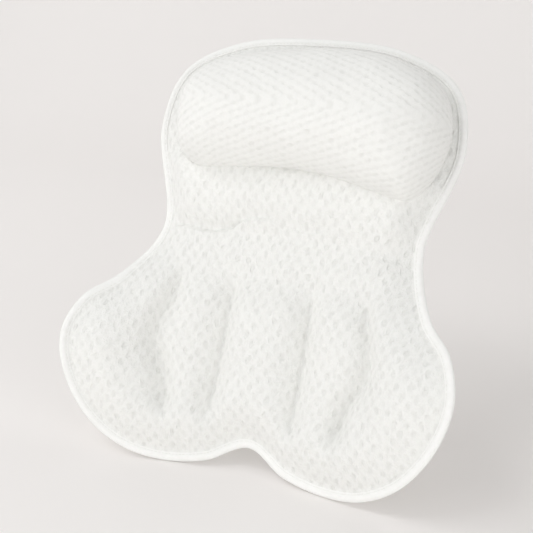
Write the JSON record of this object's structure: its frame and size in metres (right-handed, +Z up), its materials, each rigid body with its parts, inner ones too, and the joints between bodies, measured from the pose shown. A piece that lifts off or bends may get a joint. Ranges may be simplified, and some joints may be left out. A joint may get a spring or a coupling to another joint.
{
  "type": "bath pillow",
  "caption": "Butterfly-shaped bath pillow with stuffed channels, a raised head roll, a taped edge and swivelling suction cups on its back.",
  "frame": {"origin": "on the plane of the six cup rims, behind the middle of the neck crease", "axes": "+Z up, +X to the pillow's right as seen from the front, +Y to the back; the pad leans back 25.4 degrees about X, as on the sloping end of a bath"},
  "size_m": [0.3902, 0.2162, 0.3844],
  "materials": {
    "air_mesh": "white knitted spacer mesh with oval dimples",
    "roll_mesh": "white knitted spacer mesh stretched over the roll",
    "back_mesh": "white fine mesh",
    "binding_tape": "white woven polyester tape",
    "fibre_fill": "white polyester fibre wadding",
    "webbing": "white woven webbing",
    "clear_vinyl": "clear soft vinyl"
  },
  "bodies": {
    "shoulders": {"front_cover_shoulders": "air_mesh", "back_cover_shoulders": "back_mesh", "edge_binding_shoulders": "binding_tape", "yoke_pad": "fibre_fill", "channel_pad_left_wing": "fibre_fill", "channel_pad_left_inner": "fibre_fill", "channel_pad_centre": "fibre_fill", "channel_pad_right_inner": "fibre_fill", "channel_pad_right_wing": "fibre_fill", "cup_tab_middle_left": "webbing", "cup_tab_middle_right": "webbing", "cup_tab_lower_left": "webbing", "cup_tab_lower_right": "webbing"},
    "head": {"front_cover_head": "air_mesh", "back_cover_head": "back_mesh", "edge_binding_head": "binding_tape", "head_pad": "fibre_fill", "head_roll_cover": "roll_mesh", "head_roll_fill": "fibre_fill", "cup_tab_head_left": "webbing", "cup_tab_head_right": "webbing"},
    "cup_head_left": {"suction_cup_head_left": "clear_vinyl"},
    "cup_head_right": {"suction_cup_head_right": "clear_vinyl"},
    "cup_middle_left": {"suction_cup_middle_left": "clear_vinyl"},
    "cup_middle_right": {"suction_cup_middle_right": "clear_vinyl"},
    "cup_lower_left": {"suction_cup_lower_left": "clear_vinyl"},
    "cup_lower_right": {"suction_cup_lower_right": "clear_vinyl"}
  },
  "joints": [
    {"name": "neck_fold", "type": "hinge", "parent": "shoulders", "child": "head", "pos_m": [0, -0.0159, 0.00755], "axis": [1, 0, 0], "range_deg": [-60, 25]},
    {"name": "cup_swivel_head_left", "type": "hinge", "parent": "head", "child": "cup_head_left", "pos_m": [-0.048, 0.04718, 0.09937], "axis": [0, 0.9033, -0.4289], "continuous": true},
    {"name": "cup_swivel_head_right", "type": "hinge", "parent": "head", "child": "cup_head_right", "pos_m": [0.048, 0.04718, 0.09937], "axis": [0, 0.9033, -0.4289], "continuous": true},
    {"name": "cup_swivel_middle_left", "type": "hinge", "parent": "shoulders", "child": "cup_middle_left", "pos_m": [-0.048, -0.01373, -0.02891], "axis": [0, 0.9033, -0.4289], "continuous": true},
    {"name": "cup_swivel_middle_right", "type": "hinge", "parent": "shoulders", "child": "cup_middle_right", "pos_m": [0.048, -0.01373, -0.02891], "axis": [0, 0.9033, -0.4289], "continuous": true},
    {"name": "cup_swivel_lower_left", "type": "hinge", "parent": "shoulders", "child": "cup_lower_left", "pos_m": [-0.048, -0.04461, -0.09395], "axis": [0, 0.9033, -0.4289], "continuous": true},
    {"name": "cup_swivel_lower_right", "type": "hinge", "parent": "shoulders", "child": "cup_lower_right", "pos_m": [0.048, -0.04461, -0.09395], "axis": [0, 0.9033, -0.4289], "continuous": true}
  ]
}
